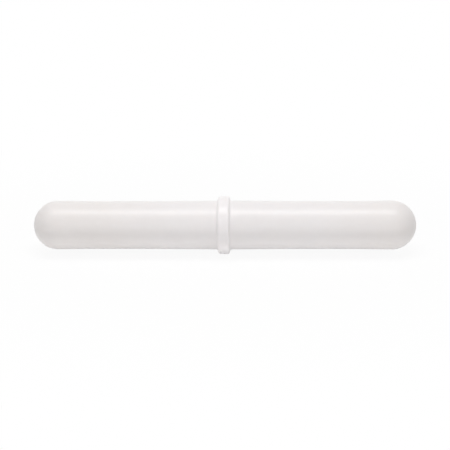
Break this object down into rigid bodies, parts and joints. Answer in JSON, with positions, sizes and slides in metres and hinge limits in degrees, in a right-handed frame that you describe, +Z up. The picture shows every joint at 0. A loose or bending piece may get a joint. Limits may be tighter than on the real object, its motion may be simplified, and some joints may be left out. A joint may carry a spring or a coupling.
{
  "type": "magnetic stir bar",
  "caption": "Long round magnetic stir bar with domed ends and a pivot ring round its middle: a seamless white moulded jacket sealed over a cast magnet rod.",
  "frame": {"origin": "the bar's centre, on its long axis, half way between its tips", "axes": "+X along the bar, +Z up, about which the level bar spins in use, and +Y across the bar"},
  "size_m": [0.152, 0.023, 0.023],
  "materials": {
    "jacket": "satin",
    "magnet": "matte"
  },
  "bodies": {
    "root": {"jacket": "jacket", "magnet": "magnet"}
  },
  "joints": []
}
